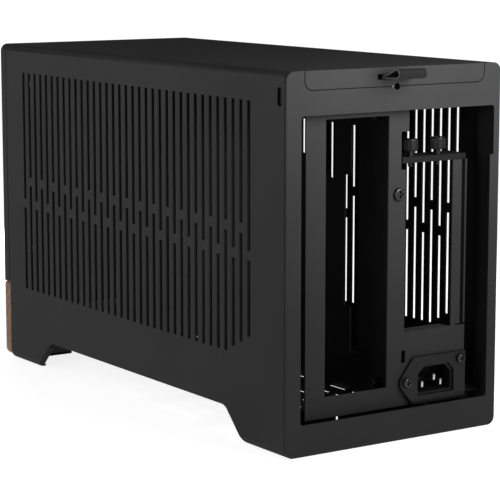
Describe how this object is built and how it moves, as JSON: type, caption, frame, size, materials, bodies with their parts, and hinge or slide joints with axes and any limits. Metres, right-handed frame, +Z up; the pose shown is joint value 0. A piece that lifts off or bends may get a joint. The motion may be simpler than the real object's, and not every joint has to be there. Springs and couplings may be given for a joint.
{
  "type": "mini-itx pc case",
  "caption": "Small computer case with slotted swing-down side panels, a tip-up top cover, a sliding spine for board and power supply, and a wooden front strip.",
  "frame": {"origin": "on the floor under the middle of the object's outer box, pull tab included", "axes": "+Z up, -Y towards the front with the wooden strip, +Y towards the rear plate, +X to the right as seen from the front"},
  "size_m": [0.153, 0.358, 0.218],
  "materials": {
    "panel_aluminium": "matte black anodised",
    "frame_steel": "black powder coat",
    "walnut": "oiled walnut",
    "rubber": "matte",
    "black_plastic": "moulded",
    "circuit_board": "solder mask",
    "black_screw": "black oxide",
    "bright_steel": "zinc plated",
    "plated_shell": "nickel plated",
    "button_metal": "anodised",
    "ribbon": "woven ribbon"
  },
  "bodies": {
    "chassis": {"front_panel": "panel_aluminium", "base_pan": "frame_steel", "rear_frame": "frame_steel", "front_bulkhead": "frame_steel", "right_top_rail": "frame_steel", "left_top_rail": "frame_steel", "right_front_hinge_bracket": "frame_steel", "left_front_hinge_bracket": "frame_steel", "right_rear_hinge_bracket": "frame_steel", "left_rear_hinge_bracket": "frame_steel", "wood_trim": "walnut", "front_right_foot_pad": "rubber", "front_left_foot_pad": "rubber", "rear_right_foot_pad": "rubber", "rear_left_foot_pad": "rubber", "cover_bumpers": "rubber", "right_stud_grommets": "rubber", "left_stud_grommets": "rubber", "front_right_foot": "black_plastic", "front_left_foot": "black_plastic", "rear_right_foot": "black_plastic", "rear_left_foot": "black_plastic", "port_tongues": "black_plastic", "power_switch": "black_plastic", "io_board_posts": "black_plastic", "usb_c_spacer": "black_plastic", "front_io_board": "circuit_board", "front_panel_screws": "bright_steel", "trim_screws": "bright_steel", "panel_hinge_pins": "bright_steel", "cover_hinge_pins": "bright_steel", "usb_a_port_inner": "plated_shell", "usb_a_port_outer": "plated_shell", "usb_c_port": "plated_shell"},
    "right_panel": {"right_side_panel": "panel_aluminium", "right_panel_studs": "bright_steel"},
    "left_panel": {"left_side_panel": "panel_aluminium", "left_panel_studs": "bright_steel"},
    "cover": {"top_cover": "panel_aluminium", "pull_tab": "ribbon"},
    "spine": {"spine_wall": "frame_steel", "standoffs": "black_screw", "spine_clamp_screws": "black_screw", "rear_plate": "frame_steel", "slot_shelf": "frame_steel", "slot_thumbscrews": "black_screw", "plate_screw": "black_screw", "psu_bracket": "frame_steel", "inlet_housing": "black_plastic", "inlet_pins": "plated_shell", "inlet_screws": "black_screw"},
    "button": {"power_button": "button_metal"}
  },
  "joints": [
    {"name": "right_panel_swing", "type": "hinge", "parent": "chassis", "child": "right_panel", "pos_m": [0.0715, -0.0072, 0.0055], "axis": [0, 1, 0], "range_deg": [0, 90]},
    {"name": "left_panel_swing", "type": "hinge", "parent": "chassis", "child": "left_panel", "pos_m": [-0.0715, -0.0072, 0.0055], "axis": [0, -1, 0], "range_deg": [0, 90]},
    {"name": "cover_tip", "type": "hinge", "parent": "chassis", "child": "cover", "pos_m": [0, -0.152, 0.2135], "axis": [1, 0, 0], "range_deg": [0, 90]},
    {"name": "spine_slide", "type": "slide", "parent": "chassis", "child": "spine", "axis": [1, 0, 0], "range_m": [-0.0135, 0.0135]},
    {"name": "button_press", "type": "slide", "parent": "chassis", "child": "button", "axis": [0, 1, 0], "range_m": [0, 0.001], "stiffness_N_per_m": 1500, "springref_m": -0.0004}
  ]
}
